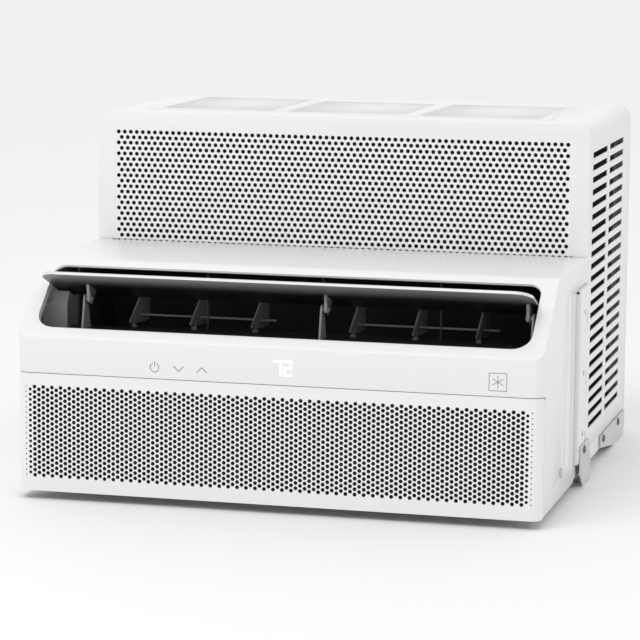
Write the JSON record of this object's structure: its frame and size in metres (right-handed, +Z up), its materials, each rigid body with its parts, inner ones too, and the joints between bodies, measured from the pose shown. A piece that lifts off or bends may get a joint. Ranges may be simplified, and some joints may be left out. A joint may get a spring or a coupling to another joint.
{
  "type": "window air conditioner",
  "caption": "Window air conditioner: low indoor unit with intake grille, swinging flap and vanes, and a taller louvred outdoor case behind the sash deck.",
  "frame": {"origin": "middle of the footprint, on the surface that the feet stand on", "axes": "+Z up, -Y towards the room, +Y outdoors, +X to the right of someone who faces the room side"},
  "size_m": [0.5766, 0.56, 0.39],
  "materials": {
    "white_plastic": "smooth white moulding with a soft gloss",
    "white_paint": "white powder coat on sheet steel",
    "grey_paint": "light grey powder coat",
    "dark_plastic": "matt near-black moulding",
    "grey_plastic": "matt dark grey moulding",
    "black_paint": "satin black enamel",
    "aluminium": "plain fin stock",
    "galvanised": "galvanised sheet",
    "copper": "drawn copper tube",
    "rubber": "moulded black rubber",
    "board": "green circuit board",
    "screw_steel": "zinc plated steel, darkened",
    "filter_mesh": "dark framed mesh"
  },
  "bodies": {
    "cabinet": {"front_shell": "white_plastic", "base_pan": "white_paint", "cabinet_wrapper": "white_paint", "outdoor_front_panel": "white_paint", "rear_guard": "white_paint", "side_rail_left": "white_paint", "side_rail_right": "white_paint", "bulkhead": "grey_paint", "sill_bracket_left": "grey_paint", "sill_bracket_right": "grey_paint", "rear_lug_left": "grey_paint", "rear_lug_right": "grey_paint", "grille_hinge_left": "dark_plastic", "grille_hinge_right": "dark_plastic", "scroll_housing": "dark_plastic", "drain_pan": "dark_plastic", "fan_shroud": "dark_plastic", "flap_hinge_left": "grey_plastic", "flap_hinge_centre": "grey_plastic", "flap_hinge_right": "grey_plastic", "flap_drive_cover": "grey_plastic", "outlet_floor": "grey_plastic", "compressor": "black_paint", "accumulator": "black_paint", "evaporator_coil": "aluminium", "condenser_coil": "aluminium", "flap_motor": "galvanised", "blower_motor": "galvanised", "condenser_fan_motor": "galvanised", "motor_bracket": "galvanised", "control_box": "galvanised", "control_box_cover": "galvanised", "suction_line": "copper", "discharge_line": "copper", "capillary_line": "copper", "cord_inlet": "rubber", "compressor_foot_1": "rubber", "compressor_foot_2": "rubber", "compressor_foot_3": "rubber", "control_board": "board", "display_board": "board", "bracket_screw_left": "screw_steel", "bracket_screw_right": "screw_steel", "lug_screw_front_left": "screw_steel", "lug_screw_front_right": "screw_steel", "lug_screw_rear_left": "screw_steel", "lug_screw_rear_right": "screw_steel"},
    "flap": {"discharge_flap": "white_plastic"},
    "intake_grille": {"front_grille": "white_plastic", "air_filter": "filter_mesh"},
    "blower": {"blower_wheel": "black_paint"},
    "outdoor_fan": {"condenser_fan": "black_paint"},
    "vane_1": {"vane_1": "dark_plastic"},
    "vane_2": {"vane_2": "dark_plastic"},
    "vane_3": {"vane_3": "dark_plastic"},
    "vane_4": {"vane_4": "dark_plastic"},
    "vane_5": {"vane_5": "dark_plastic"},
    "vane_6": {"vane_6": "dark_plastic"},
    "link_left": {"vane_link_left": "grey_plastic"},
    "link_right": {"vane_link_right": "grey_plastic"}
  },
  "joints": [
    {"name": "flap_hinge", "type": "hinge", "parent": "cabinet", "child": "flap", "pos_m": [0, -0.2175, 0.20586], "axis": [1, 0, 0], "range_deg": [0, 62]},
    {"name": "grille_hinge", "type": "hinge", "parent": "cabinet", "child": "intake_grille", "pos_m": [0, -0.27, 0.0125], "axis": [1, 0, 0], "range_deg": [0, 32]},
    {"name": "blower_spin", "type": "hinge", "parent": "cabinet", "child": "blower", "pos_m": [0, -0.118, 0.1], "axis": [1, 0, 0], "continuous": true},
    {"name": "outdoor_fan_spin", "type": "hinge", "parent": "cabinet", "child": "outdoor_fan", "pos_m": [0.08, 0.2, 0.205], "axis": [0, 1, 0], "continuous": true},
    {"name": "vane_1_turn", "type": "hinge", "parent": "cabinet", "child": "vane_1", "pos_m": [-0.19, -0.16, 0.17967], "axis": [0, 0, 1], "range_deg": [-25, 25]},
    {"name": "vane_2_turn", "type": "hinge", "parent": "cabinet", "child": "vane_2", "pos_m": [-0.122, -0.16, 0.17967], "axis": [0, 0, 1], "range_deg": [-25, 25]},
    {"name": "vane_3_turn", "type": "hinge", "parent": "cabinet", "child": "vane_3", "pos_m": [-0.054, -0.16, 0.17967], "axis": [0, 0, 1], "range_deg": [-25, 25]},
    {"name": "vane_4_turn", "type": "hinge", "parent": "cabinet", "child": "vane_4", "pos_m": [0.054, -0.16, 0.17967], "axis": [0, 0, 1], "range_deg": [-25, 25]},
    {"name": "vane_5_turn", "type": "hinge", "parent": "cabinet", "child": "vane_5", "pos_m": [0.122, -0.16, 0.17967], "axis": [0, 0, 1], "range_deg": [-25, 25]},
    {"name": "vane_6_turn", "type": "hinge", "parent": "cabinet", "child": "vane_6", "pos_m": [0.19, -0.16, 0.17967], "axis": [0, 0, 1], "range_deg": [-25, 25]},
    {"name": "link_left_turn", "type": "hinge", "parent": "vane_1", "child": "link_left", "pos_m": [-0.19, -0.14, 0.17967], "axis": [0, 0, 1], "range_deg": [-25, 25]},
    {"name": "link_right_turn", "type": "hinge", "parent": "vane_4", "child": "link_right", "pos_m": [0.054, -0.14, 0.17967], "axis": [0, 0, 1], "range_deg": [-25, 25]}
  ],
  "couplings": [
    {"joint": "vane_2_turn", "follows": "vane_1_turn", "ratio": 1},
    {"joint": "vane_3_turn", "follows": "vane_1_turn", "ratio": 1},
    {"joint": "link_left_turn", "follows": "vane_1_turn", "ratio": -1},
    {"joint": "vane_5_turn", "follows": "vane_4_turn", "ratio": 1},
    {"joint": "vane_6_turn", "follows": "vane_4_turn", "ratio": 1},
    {"joint": "link_right_turn", "follows": "vane_4_turn", "ratio": -1}
  ]
}
